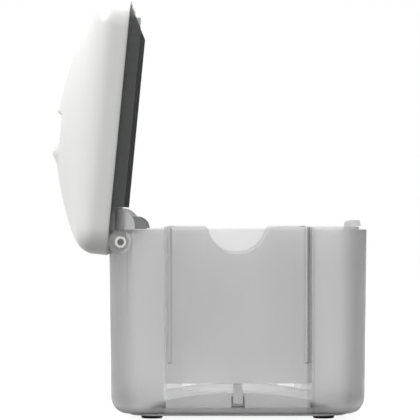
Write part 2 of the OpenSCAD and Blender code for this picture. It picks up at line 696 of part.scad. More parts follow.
// The guide stands on the liner's plate, with two pegs through it.
guide_w = button_w + 8;
guide_h = 6;
guide_len = 18;
guide_t = 1.8;
guide_foot = 11;
peg_d = 2.5;
module peg_places() for (s = [-1, 1])
    translate([latch_back - guide_foot / 2, s * (guide_w / 2 - 2 * peg_d), edge_w + liner_h]) children();
module latch_guide() color("dimgray") on_lid() {
    foot_w = edge_w + liner_h + liner_t + part_gap / 4;
    both_sides() translate([latch_back, guide_w / 2 - 3, deck_w - guide_h / 2]) cube([guide_len, 3, guide_h]);
    translate([latch_back, -guide_w / 2, foot_w]) cube([guide_t, guide_w, deck_w + guide_h / 2 - foot_w]);
    translate([latch_back - guide_foot, -guide_w / 2, foot_w]) cube([guide_foot + guide_t, guide_w, guide_t]);
    peg_places() cylinder(d = peg_d, h = liner_t + guide_t, $fn = 24);
}

// The latch spring: a fine coil between the guide's back wall and the slider's bore.
module latch_spring() color("silver") on_lid() {
    turns = 6;
    per_turn = 12;
    sides = 6;
    wire = 0.3;
    r = 1.1;
    u0 = latch_back + guide_t + wire + run_gap;
    u1 = claw_u - claw_t + spring_bore - wire - run_gap;
    n = turns * per_turn;
    polyhedron(
        [for (k = [0:n], i = [0:sides - 1]) let (a = 360 * k / per_turn, b = 360 * i / sides)
            [u0 + (u1 - u0) * k / n + wire * sin(b), (r + wire * cos(b)) * cos(a),
                deck_w + (r + wire * cos(b)) * sin(a)]],
        concat([[for (i = [0:sides - 1]) i]], [[for (i = [sides - 1:-1:0]) n * sides + i]],
            [for (k = [0:n - 1], i = [0:sides - 1]) let (j = (i + 1) % sides)
                each [[k * sides + i, (k + 1) * sides + i, k * sides + j],
                    [k * sides + j, (k + 1) * sides + i, (k + 1) * sides + j]]]));
}

// The lift plate: an arched plate with an apron and tabs on each side, a notch for each yoke arm
// and brackets for the drums.
tab_x = 31;
plate_corner = 14;
apron_in = 1.2;
apron_t = 1.2;
module lift_plate() color("lightgray") place() difference() {
    union() {
        intersection() {
            across(-plate_dep / 2, plate_dep / 2) difference() {
                translate([0, plate_top - plate_r]) circle(plate_r, $fn = 360);
                translate([0, plate_top - plate_r]) circle(plate_r - plate_t, $fn = 360);
                translate([-plate_r - over, -2 * plate_r]) square([2 * plate_r + 2 * over, 2 * plate_r]);
            }
            round_plate(plate_len / 2, plate_dep / 2, plate_corner, 0, rim_z);
        }
        both_sides() across(plate_dep / 2 - apron_in - apron_t, plate_dep / 2 - apron_in) intersection() {
            translate([0, plate_top - plate_r]) circle(plate_r - plate_t / 2, $fn = 360);
            translate([plate_corner - plate_len / 2, chassis_top + plate_gap])
                square([plate_len - 2 * plate_corner, plate_rise + plate_t]);
        }
        both_sides() for (x = [-tab_x, tab_x])
            translate([x - 1, plate_dep / 2 - 3, arch_z(x) - 7]) cube([2, 3, 7.6]);
        both_ends() both_sides() across(strip_w / 2 + 1.4, strip_w / 2 + 3.4)
            polygon([[plate_len / 2 - 8, arch_z(plate_len / 2 - 8) - 1],
                [plate_len / 2 - 2, plate_gap + chassis_top], [drum_x + 2.6, plate_gap + chassis_top],
                [drum_x + 2.6, drum_z + 2.4], [drum_x - 3, drum_z + 2.4]]);
    }
    both_sides() translate([-yoke_w / 2 - 1.5, plate_dep / 2 - 5, 0]) cube([yoke_w + 3, 5 + over, rim_z]);
    both_ends() translate([drum_x, 0, drum_z]) rod_y(drum_pin_d / 2 + fit_gap, -strip_w, strip_w);
}

// Height of the top of the arched plate at a distance from its middle.
function arch_z(x) = plate_top - plate_r + sqrt(sq(plate_r) - sq(x));

module drum_pins() color("silver") place() for (s = [-1, 1]) translate([s * drum_x, 0, drum_z])
    rod_y(drum_pin_d / 2, -strip_w / 2 - 3.4, strip_w / 2 + 3.4);

module spring_drum(s) color("white") place() translate([s * drum_x, 0, drum_z]) difference() {
    rod_y(drum_r - fit_gap, -strip_w / 2 - 1, strip_w / 2 + 1);
    rod_y(drum_pin_d / 2 + run_gap, -strip_w, strip_w);
}

module spring_coil(s) color("silver") place() translate([s * drum_x, 0, drum_z]) difference() {
    rod_y(coil_r - strip_t / 2, -strip_w / 2, strip_w / 2);
    rod_y(drum_r, -strip_w, strip_w);
}

// The yoke: a bar across the chassis with a hooked arm at each end.
module hold_down_yoke() color("dimgray") place() translate([0, 0, yoke_z]) {
    rod_y(yoke_d / 2, -plate_dep / 2 + 1, plate_dep / 2 - 1);
    both_sides() across(plate_dep / 2 - 4, plate_dep / 2 - 1) polygon([
        [-yoke_w / 2, -yoke_d / 2], [yoke_w / 2, -yoke_d / 2], [yoke_w / 2, plate_top - yoke_z + 0.6],
        [yoke_w / 2 + 1.1, plate_top - yoke_z + 0.8], [yoke_w / 2 - 0.6, plate_top - yoke_z + 2.6],
        [yoke_w / 2 - 1, yoke_arm], [-yoke_w / 2, yoke_arm]]);
}

// A pane with its thumb notch, whose mouth has rounded corners.
module window(s) color("whitesmoke", 0.5) place() to_side(s)
    across(pocket_y + slide_gap, pocket_y + slide_gap + pane_t) pane_shape();

module pane_shape() {
    top = rim_z + pane_rise;
    rise = notch_r - notch_depth;
    lip_x = sqrt(sq(notch_r + notch_lip_r) - sq(rise + notch_lip_r));
    touch = notch_r / (notch_r + notch_lip_r);
    difference() {
        translate([-pane_len / 2, pane_z]) square([pane_len, top - pane_z]);
        translate([0, top + rise]) circle(notch_r, $fn = 96);
        for (s = [-1, 1]) polygon([[s * lip_x, top + over], [s * lip_x, top - notch_lip_r],
            [s * lip_x * touch, top + rise - (rise + notch_lip_r) * touch], [0, top + over]]);
    }
    for (s = [-1, 1]) translate([s * lip_x, top - notch_lip_r]) circle(notch_lip_r, $fn = 48);
}

tub();
base_plate();
foot(1, 1);  // foot_1
foot(1, -1);  // foot_2
foot(-1, 1);  // foot_3
foot(-1, -1);  // foot_4
base_screws();
chassis();
hinge_pin();
hinge_bush(1);  // hinge_bush_left
hinge_bush(-1);  // hinge_bush_right
lid_catch();
strip_anchor(1);  // strip_anchor_front
strip_anchor(-1);  // strip_anchor_rear
spring_strip(1);  // spring_strip_front
spring_strip(-1);  // spring_strip_rear
lid_shell();
lid_liner();
outlet_chute();
hinge_arm(1);  // hinge_arm_left
hinge_arm(-1);  // hinge_arm_right
liner_screws();
latch_guide();
latch_slider();
latch_spring();
lift_plate();
drum_pins();
spring_drum(1);  // spring_drum_front
spring_drum(-1);  // spring_drum_rear
spring_coil(1);  // spring_coil_front
spring_coil(-1);  // spring_coil_rear
hold_down_yoke();
window(1);  // window_left
window(-1);  // window_right
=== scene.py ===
"""A counter-top napkin dispenser: a smoky tub with sliding panes, an open white lid and a sprung lift plate.

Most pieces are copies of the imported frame's nodes. The dome, the beads on the rails and the hinge's washers
are made here. Each piece rides on the body that its node belongs to. Lengths are in metres, and MM turns a
millimetre into them.
"""

import json
import logging
import math
from contextlib import contextmanager
from dataclasses import dataclass, field
from enum import Enum
from typing import Callable, Iterator

import bmesh
import bpy
import numpy as np
from mathutils import Matrix, Vector

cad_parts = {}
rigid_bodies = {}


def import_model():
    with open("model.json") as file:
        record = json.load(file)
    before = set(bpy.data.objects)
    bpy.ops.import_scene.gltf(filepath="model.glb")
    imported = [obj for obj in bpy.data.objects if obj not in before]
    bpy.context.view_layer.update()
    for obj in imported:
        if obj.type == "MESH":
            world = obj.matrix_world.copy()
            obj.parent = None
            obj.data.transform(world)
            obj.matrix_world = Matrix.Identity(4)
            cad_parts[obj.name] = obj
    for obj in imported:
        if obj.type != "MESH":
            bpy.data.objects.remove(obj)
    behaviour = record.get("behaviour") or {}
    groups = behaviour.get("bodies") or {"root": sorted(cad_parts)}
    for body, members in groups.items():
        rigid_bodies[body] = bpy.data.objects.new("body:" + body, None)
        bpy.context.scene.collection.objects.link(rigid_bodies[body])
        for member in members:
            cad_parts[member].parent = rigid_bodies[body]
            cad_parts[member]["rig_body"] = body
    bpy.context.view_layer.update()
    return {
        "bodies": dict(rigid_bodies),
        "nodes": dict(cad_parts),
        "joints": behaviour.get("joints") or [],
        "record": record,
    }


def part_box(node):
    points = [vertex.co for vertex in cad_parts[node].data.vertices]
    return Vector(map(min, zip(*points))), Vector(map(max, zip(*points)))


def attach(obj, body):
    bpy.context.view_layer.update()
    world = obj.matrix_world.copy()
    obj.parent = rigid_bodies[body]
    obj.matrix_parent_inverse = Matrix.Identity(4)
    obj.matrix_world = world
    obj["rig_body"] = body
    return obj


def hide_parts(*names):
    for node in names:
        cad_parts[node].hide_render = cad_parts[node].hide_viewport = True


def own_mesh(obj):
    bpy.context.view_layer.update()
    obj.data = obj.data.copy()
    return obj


log = logging.getLogger("dispenser")

MM = 0.001
SIDES = ("left", "right")
ENDS = ("front", "rear")
FLAT_ANGLE = math.radians(0.6)
SHARP_ANGLE = math.radians(50)
NORMAL_WEIGHT = 60
CUTTER_STEPS = 4

Colour = tuple[float, float, float]
Shade = tuple[float, float, float, float]
Point = tuple[float, float, float]
Socket = bpy.types.NodeSocket
Node = bpy.types.Node
Tree = bpy.types.NodeTree
Mesh = bpy.types.Mesh
Piece = bpy.types.Object
Trim = Callable[[Piece], None]
Feeds = dict[str | int, object] | None


class Slot(Enum):
    """The material slots of the record."""

    SMOKE = "smoke"
    CLEAR = "clear"
    WHITE = "white"
    CHARCOAL = "charcoal"
    GREY = "grey"
    PALE = "pale"
    NYLON = "nylon"
    STEEL = "steel"
    DARK_STEEL = "dark_steel"
    FOOT_RUBBER = "foot_rubber"


class Effect(Enum):
    """The surface effects that several finishes share."""

    GRAIN = "Moulded grain"
    FLOW = "Mould flow"
    WEAR = "Edge wear"
    DUST = "Settled dust"
    DRAWN = "Drawn metal"


# ---- shader graphs


@dataclass
class Graph:
    """Adds nodes to one node tree and wires them together."""

    tree: Tree

    def add(self, kind: str, feeds: Feeds = None, **settings: object) -> Node:
        """Adds a node.

        Args:
            kind: the node's bl_idname.
            feeds: a value or a socket for each named or numbered input.
            settings: attributes of the node, such as its operation.

        Returns:
            The new node.
        """
        node = self.tree.nodes.new(kind)
        for name, value in settings.items():
            setattr(node, name, value)
        for key, value in (feeds or {}).items():
            self.feed(node.inputs[key], value)
        return node

    def feed(self, socket: Socket, value: object) -> None:
        """Links a socket to another one, or sets its value.

        Args:
            socket: the socket to feed.
            value: another socket, or a plain value.
        """
        if isinstance(value, Socket):
            self.tree.links.new(value, socket)
        else:
            socket.default_value = value

    def math(self, operation: str, *values: object) -> Socket:
        """The result of a Math node with these values or sockets."""
        return self.add("ShaderNodeMath", dict(enumerate(values)), operation=operation).outputs[0]

    def mix(self, share: object, first: object, second: object) -> Socket:
        """The colour that is first at a share of 0 and second at 1."""
        node = self.add("ShaderNodeMix", {0: share, 6: first, 7: second}, data_type="RGBA")
        return node.outputs[2]

    def ramp(self, value: object, low: float, high: float, to_low: float = 0.0,
             to_high: float = 1.0) -> Socket:
        """A value moved smoothly from the range low to high into the range to_low to to_high."""
        feeds = {0: value, 1: low, 2: high, 3: to_low, 4: to_high}
        return self.add("ShaderNodeMapRange", feeds, interpolation_type="SMOOTHSTEP").outputs[0]

    def noise(self, where: Socket, scale: object, detail: float = 2.0, rough: float = 0.5) -> Socket:
        """A noise value over a surface, from 0 to 1."""
        feeds = {"Vector": where, "Scale": scale, "Detail": detail, "Roughness": rough}
        return self.add("ShaderNodeTexNoise", feeds).outputs[0]

    def place(self) -> Socket:
        """The point on the piece at rest, in metres."""
        return self.add("ShaderNodeTexCoord").outputs["Object"]


@dataclass
class EffectGroup:
    """A shader node group while it is being built: its graph, its inputs and its outputs."""

    name: str
    inputs: dict[str, float]
    outputs: tuple[str, ...]
    graph: Graph = field(init=False)
    source: Node = field(init=False)
    target: Node = field(init=False)

    def __post_init__(self) -> None:
        """Makes the empty group with its named sockets."""
        tree = bpy.data.node_groups.new(self.name, "ShaderNodeTree")
        for label, value in self.inputs.items():
            socket = tree.interface.new_socket(label, in_out="INPUT", socket_type="NodeSocketFloat")
            socket.default_value = value
        for label in self.outputs:
            tree.interface.new_socket(label, in_out="OUTPUT", socket_type="NodeSocketFloat")
        self.graph = Graph(tree)
        self.source = self.graph.add("NodeGroupInput")
        self.target = self.graph.add("NodeGroupOutput")

    def give(self, label: str, value: Socket) -> None:
        """Wires a value to one of the group's outputs."""
        self.graph.feed(self.target.inputs[label], value)


class Effects:
    """The node groups for grain, flow, wear, dust and drawn metal, each built once."""

    def __init__(self) -> None:
        """Builds every group."""
        self.trees: dict[Effect, Tree] = {
            Effect.GRAIN: self._grain(),
            Effect.FLOW: self._flow(),
            Effect.WEAR: self._wear(),
            Effect.DUST: self._dust(),
            Effect.DRAWN: self._drawn(),
        }

    def use(self, graph: Graph, effect: Effect, **values: float) -> Node:
        """Places an effect in a material with its own values.

        Args:
            graph: the material's graph.
            effect: the effect to place.
            values: a value for each input, with _ for a space in its name.

        Returns:
            The group node.
        """
        node = graph.add("ShaderNodeGroup", node_tree=self.trees[effect])
        for label, value in values.items():
            graph.feed(node.inputs[label.replace("_", " ")], value)
        return node

    def _grain(self) -> Tree:
        """The fine pebbled texture of a spark-eroded mould. Size is in metres.

        Returns:
            The group as a node tree.
        """
        group = EffectGroup(Effect.GRAIN.value, {"Size": 0.0006}, ("Height", "Patch"))
        g = group.graph
        where = g.place()
        scale = g.math("DIVIDE", 1.0, group.source.outputs["Size"])
        fine = g.noise(where, scale, detail=3.0, rough=0.6)
        coarse = g.noise(where, g.math("DIVIDE", scale, 7.0), detail=2.0)
        pits = g.ramp(fine, 0.35, 0.65)
        group.give("Height", g.math("ADD", g.math("MULTIPLY", pits, 0.75), g.math("MULTIPLY", coarse, 0.25)))
        group.give("Patch", g.ramp(coarse, 0.3, 0.7))
        return g.tree

    def _flow(self) -> Tree:
        """Broad soft streaks, as where melt has run through a mould, of about -Contrast to +Contrast.

        Returns:
            The group as a node tree.
        """
        group = EffectGroup(Effect.FLOW.value, {"Size": 0.04, "Contrast": 0.05}, ("Value",))
        g = group.graph
        stretched = g.add("ShaderNodeMapping", {"Vector": g.place(), "Scale": (1.0, 1.0, 0.35)}).outputs[0]
        scale = g.math("DIVIDE", 1.0, group.source.outputs["Size"])
        value = g.math("SUBTRACT", g.noise(stretched, scale, detail=3.0), 0.5)
        reach = g.math("MULTIPLY", group.source.outputs["Contrast"], 4.0)
        group.give("Value", g.math("MULTIPLY", value, reach))
        return g.tree

    def _wear(self) -> Tree:
        """A mask of the edges that hands and neighbours rub. Width is in metres.

        Returns:
            The group as a node tree.
        """
        group = EffectGroup(Effect.WEAR.value, {"Width": 0.0006, "Amount": 0.3}, ("Mask",))
        g = group.graph
        rounded = g.add("ShaderNodeBevel", {"Radius": group.source.outputs["Width"]}, samples=4).outputs[0]
        flat = g.add("ShaderNodeNewGeometry").outputs["Normal"]
        turn = g.add("ShaderNodeVectorMath", {0: rounded, 1: flat}, operation="DOT_PRODUCT").outputs["Value"]
        edge = g.ramp(turn, 0.99, 0.8)
        broken = g.ramp(g.noise(g.place(), 260.0, detail=4.0, rough=0.7), 0.35, 0.7)
        worn = g.math("MULTIPLY", edge, broken)
        group.give("Mask", g.math("MULTIPLY", worn, group.source.outputs["Amount"]))
        return g.tree

    def _dust(self) -> Tree:
        """A mask of the dust that settles on what faces up at rest.

        Returns:
            The group as a node tree.
        """
        group = EffectGroup(Effect.DUST.value, {"Amount": 0.1}, ("Mask",))
        g = group.graph
        normal = g.add("ShaderNodeTexCoord").outputs["Normal"]
        up = g.ramp(g.add("ShaderNodeSeparateXYZ", {0: normal}).outputs["Z"], 0.35, 1.0)
        specks = g.ramp(g.noise(g.place(), 900.0, detail=5.0, rough=0.75), 0.52, 0.75)
        film = g.noise(g.place(), 45.0, detail=3.0)
        both = g.math("ADD", g.math("MULTIPLY", specks, 0.6), g.math("MULTIPLY", film, 0.4))
        group.give("Mask", g.math("MULTIPLY", g.math("MULTIPLY", up, both), group.source.outputs["Amount"]))
        return g.tree

    def _drawn(self) -> Tree:
        """Fine lines along a rolled strip or a turned pin. Pitch is in metres.

        Returns:
            The group as a node tree.
        """
        group = EffectGroup(Effect.DRAWN.value, {"Pitch": 0.0004}, ("Height", "Value"))
        g = group.graph
        scale = g.math("DIVIDE", 1.0, group.source.outputs["Pitch"])
        lined = g.add("ShaderNodeMapping", {"Vector": g.place(), "Scale": (1.0, 1.0, 0.03)}).outputs[0]
        lines = g.noise(lined, scale, detail=2.0, rough=0.7)
        group.give("Height", lines)
        group.give("Value", g.ramp(lines, 0.3, 0.7))
        return g.tree


@dataclass
class Surface:
    """A material under construction: its graph and its Principled shader."""

    name: str
    material: bpy.types.Material = field(init=False)
    graph: Graph = field(init=False)
    shader: Node = field(init=False)

    def __post_init__(self) -> None:
        """Makes the material with an empty Principled shader."""
        self.material = bpy.data.materials.new(self.name)
        self.material.use_nodes = True
        tree = self.material.node_tree
        tree.nodes.clear()
        self.graph = Graph(tree)
        self.shader = self.graph.add("ShaderNodeBsdfPrincipled")
        self.graph.add("ShaderNodeOutputMaterial", {"Surface": self.shader.outputs[0]})

    def set(self, **values: object) -> None:
        """Sets or links sockets of the shader, with _ for a space in a socket's name."""
        for label, value in values.items():
            self.graph.feed(self.shader.inputs[label.replace("_", " ")], value)

    def bump(self, height: Socket, distance: float) -> None:
        """Gives the shader a bumped normal."""
        feeds = {"Strength": 1.0, "Distance": distance, "Height": height}
        self.set(Normal=self.graph.add("ShaderNodeBump", feeds).outputs[0])

    def shade(self, colour: Colour | Socket, amount: Socket) -> Socket:
        """A colour that grows lighter or darker by a signed amount."""
        feeds = {0: colour, "Scale": self.graph.math("ADD", amount, 1.0)}
        return self.graph.add("ShaderNodeVectorMath", feeds, operation="SCALE").outputs[0]


# ---- finishes


@dataclass(frozen=True)
class MouldedPlastic:
    """A moulded plastic that lets no light through, with grain, flow marks, worn edges and dust."""

    slot: Slot
    colour: Colour
    roughness: float
    grain_size: float = 0.6 * MM
    grain_depth: float = 0.02 * MM
    flow: float = 0.03
    wear: float = 0.25
    worn: Colour = (0.8, 0.8, 0.8)
    dust: float = 0.1
    gloss: float = 0.5
    patchy: float = 0.06
    dust_tone: Shade = (0.62, 0.6, 0.57, 1.0)
    dust_rough: float = 0.5

    def build(self, effects: Effects) -> bpy.types.Material:
        """The material of this finish.

        Args:
            effects: the shared surface effects.

        Returns:
            The material.
        """
        surface = Surface(self.slot.value)
        g = surface.graph
        flow = effects.use(g, Effect.FLOW, Contrast=self.flow)
        grain = effects.use(g, Effect.GRAIN, Size=self.grain_size)
        wear = effects.use(g, Effect.WEAR, Amount=self.wear)
        dust = effects.use(g, Effect.DUST, Amount=self.dust)
        body = surface.shade(self.colour, flow.outputs["Value"])
        body = g.mix(wear.outputs["Mask"], body, (*self.worn, 1.0))
        body = g.mix(dust.outputs["Mask"], body, self.dust_tone)
        rough = g.math("ADD", g.math("MULTIPLY", grain.outputs["Patch"], self.patchy), self.roughness)
        rough = g.math("ADD", rough, g.math("MULTIPLY", dust.outputs["Mask"], self.dust_rough))
        surface.set(Base_Color=body, Roughness=rough, Specular_IOR_Level=self.gloss)
        if self.grain_depth:
            surface.bump(grain.outputs["Height"], self.grain_depth)
        return surface.material


@dataclass(frozen=True)
class ClearField:
    """Where a see-through moulding is polished: between two planes across X and over to_z.

    Below from_z the polish turns satin.
    """

    from_x: float
    to_x: float
    from_z: float
    to_z: float


@dataclass(frozen=True)
class SmokedPlastic:
    """A see-through plastic: polished in its clear field, satin under it and frosted beside it."""

    slot: Slot
    clear: ClearField
    tints: tuple[float, float, float]
    roughness: tuple[float, float, float]
    passes: float
    edge_shade: float = 0.5
    grain_size: float = 0.8 * MM
    grain_depth: float = 0.02 * MM
    flow: float = 0.03
    # rail_reach, cheek, cheek_edge and the rail shade place painted shade along the front rails and cheeks.
    rail_reach: float = 3.7 * MM
    cheek: float = 2.2 * MM
    painted_rail_shade: float = 0.16
    foot_top: float = 10.0 * MM
    foot_fade: float = 1.2 * MM
    foot_shade: float = 0.14
    foot_rough: float = 0.3
    ior: float = 1.45
    name: str = ""
    dust: float = 0.12
    dust_tone: Shade = (0.7, 0.69, 0.67, 1.0)
    edge_tone: Shade = (0.25, 0.25, 0.25, 1.0)
    edge_power: float = 2.5
    patchy: float = 0.02
    zone_edge: float = 0.4 * MM
    cheek_edge: float = 0.3 * MM

    def build(self, effects: Effects) -> bpy.types.Material:
        """The material of this finish.

        Args:
            effects: the shared surface effects.

        Returns:
            The material.
        """
        surface = Surface(self.name or self.slot.value)
        g = surface.graph
        satin, frost = self._zones(g)
        flow = effects.use(g, Effect.FLOW, Contrast=self.flow)
        grain = effects.use(g, Effect.GRAIN, Size=self.grain_size)
        dust = effects.use(g, Effect.DUST, Amount=self.dust)
        clear, satin_tint, frosted_tint = ((tint, tint, tint, 1.0) for tint in self.tints)
        body = g.mix(frost, g.mix(satin, clear, satin_tint), frosted_tint)
        foot = self._foot(g)
        # Painted shade along the front rails and cheeks, and a darker tint towards the bottom over the foot.
        darker = g.math("ADD", g.math("MULTIPLY", foot, -self.foot_shade), self._painted_front_shade(g))
        body = surface.shade(body, g.math("ADD", flow.outputs["Value"], darker))
        body = g.mix(dust.outputs["Mask"], body, self.dust_tone)
        facing = g.add("ShaderNodeLayerWeight", {"Blend": 0.5}).outputs["Facing"]
        turned = g.math("MULTIPLY", g.math("POWER", facing, self.edge_power), self.edge_shade)
        body = g.mix(turned, body, self.edge_tone)
        polished, satin_rough, frosted = self.roughness
        rough = g.ramp(satin, 0.0, 1.0, polished, satin_rough)
        rough = g.math("ADD", rough, g.math("MULTIPLY", frost, g.math("SUBTRACT", frosted, rough)))
        rough = g.math("ADD", rough, g.math("MULTIPLY", grain.outputs["Patch"], self.patchy))
        rough = g.math("ADD", rough, g.math("MULTIPLY", foot, self.foot_rough))
        surface.set(Base_Color=body, Roughness=rough)
        surface.set(Transmission_Weight=self.passes, IOR=self.ior, Metallic=0.0)
        surface.bump(g.math("MULTIPLY", grain.outputs["Height"], frost), self.grain_depth)
        return surface.material

    def _foot(self, g: Graph) -> Socket:
        """The mask of the thick rounded foot, over which the colour is darker towards the bottom and the
        surface rougher.
        """
        height = g.add("ShaderNodeSeparateXYZ", {0: g.place()}).outputs["Z"]
        return g.ramp(height, self.foot_top, self.foot_top - self.foot_fade)

    def _zones(self, g: Graph) -> tuple[Socket, Socket]:
        """The masks of the satin band and of the frosted rest.

        Args:
            g: the material's graph.

        Returns:
            Both masks, from 0 to 1.
        """
        edge = self.zone_edge
        where = g.add("ShaderNodeSeparateXYZ", {0: g.place()}).outputs
        middle = (self.clear.from_x + self.clear.to_x) / 2
        half = (self.clear.to_x - self.clear.from_x) / 2
        away = g.math("ABSOLUTE", g.math("SUBTRACT", where["X"], middle))
        beside = g.ramp(away, half, half + edge)
        below = g.ramp(where["Z"], self.clear.to_z, self.clear.to_z - edge)
        satin = g.ramp(where["Z"], self.clear.from_z, self.clear.from_z - edge)
        return satin, g.math("MULTIPLY", beside, below)

    def _painted_front_shade(self, g: Graph) -> Socket:
        """How much darker the colour is painted along the front rails and cheeks (+X side only), as a
        negative share: painted shade, not the moulding's own tone.

        Args:
            g: the material's graph.

        Returns:
            The share, 0 away from them.
        """
        edge = self.cheek_edge
        where = g.add("ShaderNodeSeparateXYZ", {0: g.place()}).outputs["X"]
        inner = g.ramp(where, self.clear.to_x - self.rail_reach, self.clear.to_x - self.rail_reach + edge)
        outer = g.ramp(where, self.clear.to_x + self.cheek - edge, self.clear.to_x + self.cheek, 1.0, 0.0)
        return g.math("MULTIPLY", g.math("MULTIPLY", inner, outer), -self.painted_rail_shade)


@dataclass(frozen=True)
class Metal:
    """A bare or blackened metal with the lines of rolling or turning."""

    slot: Slot
    colour: Colour
    roughness: float
    pitch: float = 0.4 * MM
    depth: float = 0.004 * MM
    tarnish: float = 0.08
    tarnish_size: float = 0.012
    line_rough: float = 0.12

    def build(self, effects: Effects) -> bpy.types.Material:
        """The material of this finish.

        Args:
            effects: the shared surface effects.

        Returns:
            The material.
        """
        surface = Surface(self.slot.value)
        g = surface.graph
        flow = effects.use(g, Effect.FLOW, Size=self.tarnish_size, Contrast=self.tarnish)
        drawn = effects.use(g, Effect.DRAWN, Pitch=self.pitch)
        lines = g.math("MULTIPLY", drawn.outputs["Value"], self.line_rough)
        rough = g.math("ADD", lines, self.roughness - self.line_rough / 2)
        colour = surface.shade(self.colour, flow.outputs["Value"])
        surface.set(Base_Color=colour, Roughness=rough, Metallic=1.0)
        surface.bump(drawn.outputs["Height"], self.depth)
        return surface.material


class Finishes:
    """Every finish of the dispenser, built once and handed out by slot."""

    def __init__(self, clear: ClearField) -> None:
        """Builds the materials.

        Args:
            clear: the polished field of the tub.
        """
        effects = Effects()
        recipes = (
            SmokedPlastic(Slot.SMOKE, clear, (0.93, 0.86, 0.78), (0.04, 0.08, 0.3), passes=0.92),
            SmokedPlastic(Slot.CLEAR, clear, (0.84, 0.84, 0.84), (0.36, 0.36, 0.36), passes=0.95),
            MouldedPlastic(Slot.WHITE, (0.8, 0.8, 0.785), 0.3, grain_depth=0.0, flow=0.008, wear=0.0,
                           dust=0.0, patchy=0.0),
            MouldedPlastic(Slot.CHARCOAL, (0.06, 0.061, 0.063), 0.42, grain_depth=0.04 * MM, wear=0.12,
                           worn=(0.2, 0.2, 0.2), dust=0.12),
            MouldedPlastic(Slot.GREY, (0.38, 0.38, 0.385), 0.5, grain_depth=0.03 * MM,
                           worn=(0.4, 0.4, 0.4)),
            MouldedPlastic(Slot.PALE, (0.9, 0.9, 0.9), 0.42, worn=(0.9, 0.9, 0.9)),
            MouldedPlastic(Slot.NYLON, (0.93, 0.92, 0.89), 0.38, wear=0.05, dust=0.05),
            Metal(Slot.STEEL, (0.62, 0.62, 0.63), 0.3),
            Metal(Slot.DARK_STEEL, (0.12, 0.12, 0.125), 0.38, tarnish=0.15),
            MouldedPlastic(Slot.FOOT_RUBBER, (0.018, 0.018, 0.018), 0.75, grain_size=0.4 * MM,
                           grain_depth=0.05 * MM, wear=0.2, worn=(0.06, 0.06, 0.06), gloss=0.25),
        )
        self.materials = {recipe.slot: recipe.build(effects) for recipe in recipes}
        milky = SmokedPlastic(Slot.SMOKE, clear, (0.8, 0.8, 0.8), (0.5, 0.5, 0.5), passes=0.3,
                              name="smoke_milky")
        self.guard = milky.build(effects)

    def dress(self, piece: Piece, slot: Slot) -> None:
        """Gives a piece the finish of a slot, and logs the slot.

        Args:
            piece: the piece.
            slot: the material slot.
        """
        piece.data.materials.clear()
        piece.data.materials.append(self.materials[slot])
        log.info("%s: %d faces in %s", piece.name, len(piece.data.polygons), slot.value)


# ---- mesh making


@dataclass(frozen=True)
class Softening:
    """How the sharp edges of a moulding are broken: the radius, its steps and from which angle it applies.

    Corners of the CAD mesh closer together than merge become one first. A radius of 0 leaves the edges
    sharp. The radius is the most that an edge gets: the clamp against overlaps holds it back, on some
    pieces to almost nothing.
    """

    radius: float = 0.3 * MM
    steps: int = 2
    from_angle: float = 30.0
    merge: float = 0.002 * MM


SHARP = Softening(0.0)
SCREW_EDGES = Softening(0.12 * MM, 2, 40.0)
PIN_EDGES = Softening(0.15 * MM, 2, 40.0)


@contextmanager
def edited(mesh: Mesh) -> Iterator[bmesh.types.BMesh]:
    """A mesh opened for editing, and written back at the end.

    Args:
        mesh: the mesh.

    Yields:
        Its faces, edges and corners to work on.
    """
    work = bmesh.new()
    work.from_mesh(mesh)
    yield work
    work.to_mesh(mesh)
    work.free()


def baked(piece: Piece) -> None:
    """Turns a piece's modifiers into plain mesh.

    Args:
        piece: the piece to change.
    """
    bpy.context.view_layer.update()
    graph = bpy.context.evaluated_depsgraph_get()
    mesh = bpy.data.meshes.new_from_object(piece.evaluated_get(graph))
    piece.modifiers.clear()
    piece.data = mesh


def carve(piece: Piece, operation: str, *blocks: Piece) -> None:
    """Takes blocks out of a piece, or keeps only what lies in them, and removes the blocks.

    Args:
        piece: the piece to change.
        operation: DIFFERENCE or INTERSECT.
        blocks: the cutters.
    """
    for cutter in blocks:
        tool = piece.modifiers.new(cutter.name, "BOOLEAN")
        tool.operation, tool.object, tool.solver = operation, cutter, "EXACT"
    baked(piece)
    for cutter in blocks:
        bpy.data.objects.remove(cutter)


def linked(name: str, mesh: Mesh) -> Piece:
    """A new object for a mesh, in the scene.

    Args:
        name: the object's name.
        mesh: the mesh.

    Returns:
        The object.
    """
    piece = bpy.data.objects.new(name, mesh)
    bpy.context.scene.collection.objects.link(piece)
    return piece


def softened(name: str, source: Piece, how: Softening, trim: Trim | None = None) -> Piece:
    """A copy of a CAD node with its edges broken and its round faces smooth.

    Args:
        name: the new piece's name.
        source: the CAD node.
        how: how its edges are broken, and which corners are merged first.
        trim: what cuts the copy before its edges are broken.

    Returns:
        The new piece.
    """
    mesh = source.data.copy()
    mesh.materials.clear()
    with edited(mesh) as work:
        bmesh.ops.remove_doubles(work, verts=work.verts, dist=how.merge)
        bmesh.ops.dissolve_limit(work, angle_limit=FLAT_ANGLE, verts=work.verts, edges=work.edges)
        for face in work.faces:
            face.smooth = True
    piece = linked(name, mesh)
    if trim:
        trim(piece)
    if how.radius:
        bevel = piece.modifiers.new("broken edges", "BEVEL")
        bevel.width = how.radius
        bevel.segments = how.steps
        bevel.limit_method = "ANGLE"
        bevel.angle_limit = math.radians(how.from_angle)
        bevel.use_clamp_overlap = True
        bevel.harden_normals = False
    smooth = piece.modifiers.new("smooth faces", "WEIGHTED_NORMAL")
    smooth.keep_sharp = True
    smooth.weight = NORMAL_WEIGHT
    baked(piece)
    return piece


